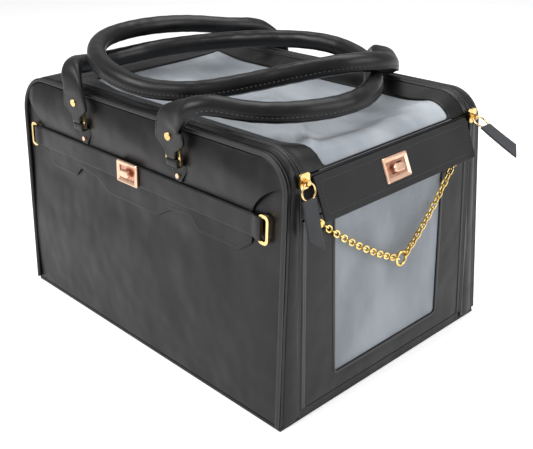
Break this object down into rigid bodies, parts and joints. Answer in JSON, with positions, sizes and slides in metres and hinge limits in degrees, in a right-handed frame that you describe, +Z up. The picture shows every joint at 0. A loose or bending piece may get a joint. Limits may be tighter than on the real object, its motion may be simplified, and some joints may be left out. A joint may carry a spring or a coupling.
{
  "type": "pet carrier bag",
  "caption": "Soft-sided pet carrier handbag with a mesh top lid, a mesh front door, a locking front flap, a chain swag and rolled shoulder handles.",
  "frame": {"origin": "middle of the flat bottom face", "axes": "+X towards the mesh door end, -Y towards the near long side, +Z up"},
  "size_m": [0.4895, 0.308, 0.3097],
  "materials": {
    "leather": "satin black faux leather with a fine grain",
    "piping_leather": "satin black leather-covered cord",
    "mesh": "pale blue-grey see-through mesh",
    "zip": "matt black ribbed zip",
    "board": "matt black stiffening board",
    "mat_fabric": "soft grey plush",
    "gold": "polished pale gold plating",
    "rose_gold": "polished rose gold plating"
  },
  "bodies": {
    "bag": {"base_board": "board", "base_panel": "leather", "far_belt": "leather", "far_belt_loops": "gold", "far_gusset": "leather", "far_keeper_rivets": "gold", "far_keepers": "leather", "far_lock_plate": "rose_gold", "far_piping": "piping_leather", "far_side_flap": "leather", "far_side_panel": "leather", "far_zip": "zip", "floor_mat": "mat_fabric", "front_header": "leather", "front_lock_base": "rose_gold", "front_sill": "leather", "near_belt": "leather", "near_belt_loops": "gold", "near_gusset": "leather", "near_keeper_rivets": "gold", "near_keepers": "leather", "near_lock_plate": "rose_gold", "near_piping": "piping_leather", "near_side_flap": "leather", "near_side_panel": "leather", "near_zip": "zip", "rear_panel": "leather"},
    "lid": {"lid_frame": "leather", "lid_mesh": "mesh", "lid_zip": "zip"},
    "door": {"door_frame": "leather", "door_mesh": "mesh", "door_zip": "zip", "chain_links": "gold", "chain_ring": "gold", "chain_staples": "gold"},
    "front_flap": {"front_flap": "leather", "front_lock_plate": "rose_gold"},
    "front_toggle": {"front_lock_toggle": "rose_gold"},
    "near_toggle": {"near_lock_toggle": "rose_gold"},
    "far_toggle": {"far_lock_toggle": "rose_gold"},
    "near_slider": {"near_slider": "gold"},
    "far_slider": {"far_slider": "gold"},
    "near_pull": {"near_pull_ring": "gold", "near_pull_tab": "leather"},
    "far_pull": {"far_pull_ring": "gold", "far_pull_tab": "leather"},
    "near_handle": {"near_handle_roll": "leather", "near_handle_tabs": "leather", "near_handle_rivets": "gold", "near_handle_rings": "gold"},
    "far_handle": {"far_handle_roll": "leather", "far_handle_tabs": "leather", "far_handle_rivets": "gold", "far_handle_rings": "gold"}
  },
  "joints": [
    {"name": "lid_hinge", "type": "hinge", "parent": "bag", "child": "lid", "pos_m": [-0.15, 0, 0.2605], "axis": [0, -1, 0], "range_deg": [0, 180]},
    {"name": "door_hinge", "type": "hinge", "parent": "bag", "child": "door", "pos_m": [0.2155, 0, 0.0102], "axis": [0, 1, 0], "range_deg": [0, 85]},
    {"name": "front_flap_hinge", "type": "hinge", "parent": "bag", "child": "front_flap", "pos_m": [0.2156, 0, 0.2365], "axis": [0, -1, 0], "range_deg": [0, 100]},
    {"name": "front_turn_lock", "type": "hinge", "parent": "bag", "child": "front_toggle", "pos_m": [0.22279, -0.008, 0.2187], "axis": [0.9272, 0, 0.3746], "range_deg": [0, 90]},
    {"name": "near_turn_lock", "type": "hinge", "parent": "bag", "child": "near_toggle", "pos_m": [-0.006, -0.1411, 0.19246], "axis": [0, -0.997, 0.0773], "range_deg": [0, 90]},
    {"name": "far_turn_lock", "type": "hinge", "parent": "bag", "child": "far_toggle", "pos_m": [-0.006, 0.1411, 0.19246], "axis": [0, 0.997, 0.0773], "range_deg": [0, 90]},
    {"name": "near_zip_slide", "type": "slide", "parent": "bag", "child": "near_slider", "axis": [0, -0.031, -0.9995], "range_m": [0, 0.15]},
    {"name": "far_zip_slide", "type": "slide", "parent": "bag", "child": "far_slider", "axis": [0, 0.031, -0.9995], "range_m": [0, 0.15]},
    {"name": "near_pull_swing", "type": "hinge", "parent": "near_slider", "child": "near_pull", "pos_m": [0.2217, -0.11765, 0.236], "axis": [0, -1, 0], "range_deg": [-9, 81], "deforming": ["near_pull_tab"]},
    {"name": "far_pull_swing", "type": "hinge", "parent": "far_slider", "child": "far_pull", "pos_m": [0.2217, 0.11765, 0.236], "axis": [0, -1, 0], "range_deg": [-60, 30], "deforming": ["far_pull_tab"]},
    {"name": "near_handle_swing", "type": "hinge", "parent": "bag", "child": "near_handle", "pos_m": [0, -0.14104, 0.224], "axis": [1, 0, 0], "range_deg": [0, 150], "deforming": ["near_handle_roll"]},
    {"name": "far_handle_swing", "type": "hinge", "parent": "bag", "child": "far_handle", "pos_m": [0, 0.14104, 0.224], "axis": [-1, 0, 0], "range_deg": [0, 150], "deforming": ["far_handle_roll"]}
  ]
}
